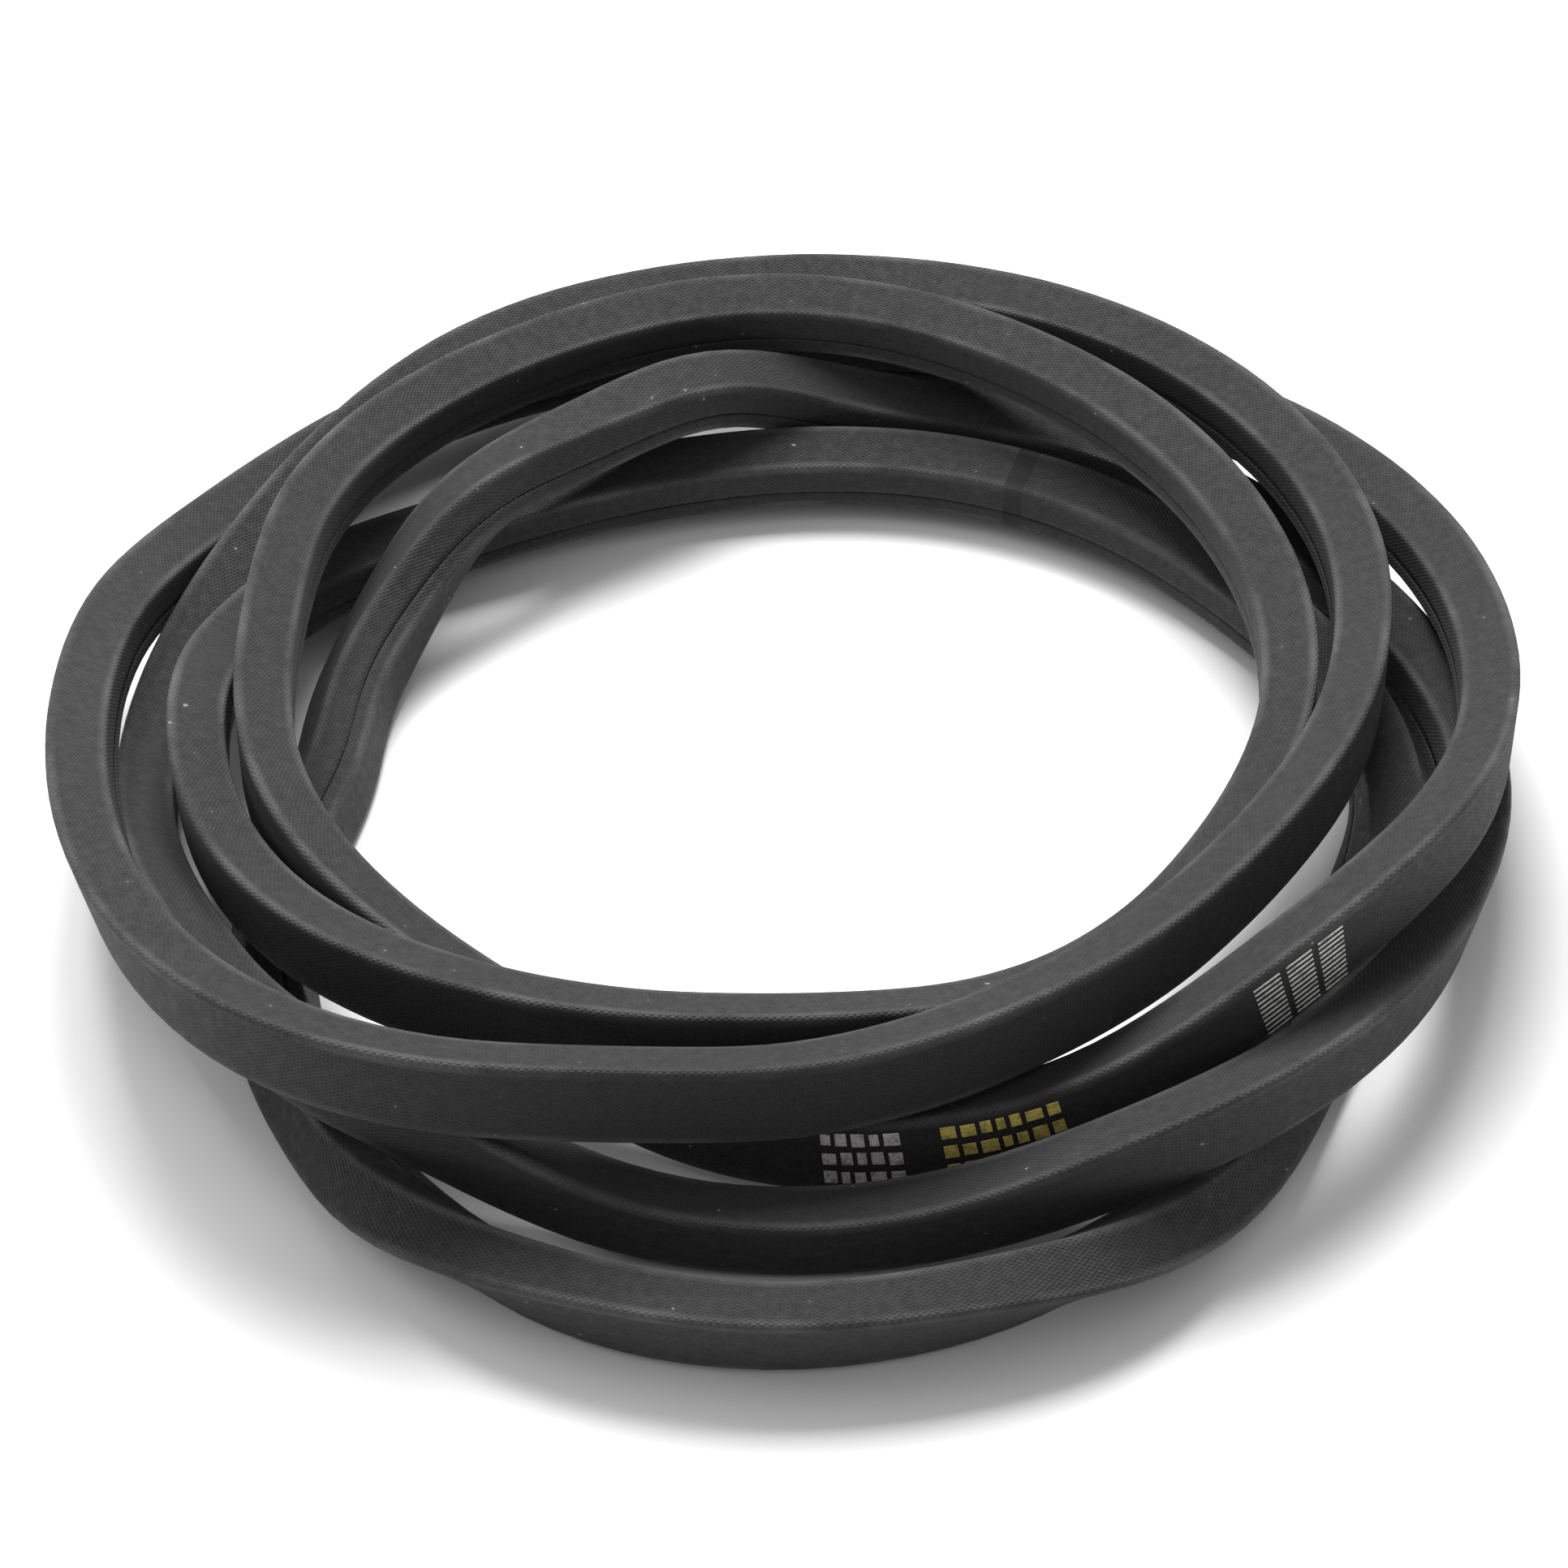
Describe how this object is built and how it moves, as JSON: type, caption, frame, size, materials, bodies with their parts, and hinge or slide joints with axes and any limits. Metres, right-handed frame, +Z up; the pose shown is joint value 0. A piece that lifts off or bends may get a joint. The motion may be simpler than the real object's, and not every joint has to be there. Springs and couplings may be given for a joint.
{
  "type": "v belt",
  "caption": "Endless wrapped V-belt of trapezoid section with fabric cover and cord bed, lying in a loose coil, for wedging into grooved pulleys.",
  "frame": {"origin": "under the middle of the coil's bounding box, on the surface the coil lies on", "axes": "+Z up through the coil's eye, +Y away from the front of the coil, +X to its right"},
  "size_m": [0.3524, 0.3856, 0.0617],
  "materials": {
    "cover_fabric": "matte woven",
    "inner_fabric": "matte woven",
    "overcord": "matte",
    "upper_gum": "matte",
    "cord": "twisted fibre",
    "lower_gum": "matte",
    "core": "matte",
    "white_ink": "printed",
    "yellow_ink": "printed",
    "silver_ink": "printed"
  },
  "bodies": {
    "root": {"outer_fabric_ply": "cover_fabric", "inner_fabric_ply": "inner_fabric", "overcord_rubber": "overcord", "upper_cushion_gum": "upper_gum", "tension_cord": "cord", "lower_cushion_gum": "lower_gum", "compression_core": "core", "white_print_lower_row": "white_ink", "white_print_middle_row": "white_ink", "white_print_upper_row": "white_ink", "yellow_print_lower_row": "yellow_ink", "yellow_print_middle_row": "yellow_ink", "yellow_print_upper_row": "yellow_ink", "silver_print_column_1": "silver_ink", "silver_print_column_2": "silver_ink", "silver_print_column_3": "silver_ink"}
  },
  "joints": []
}
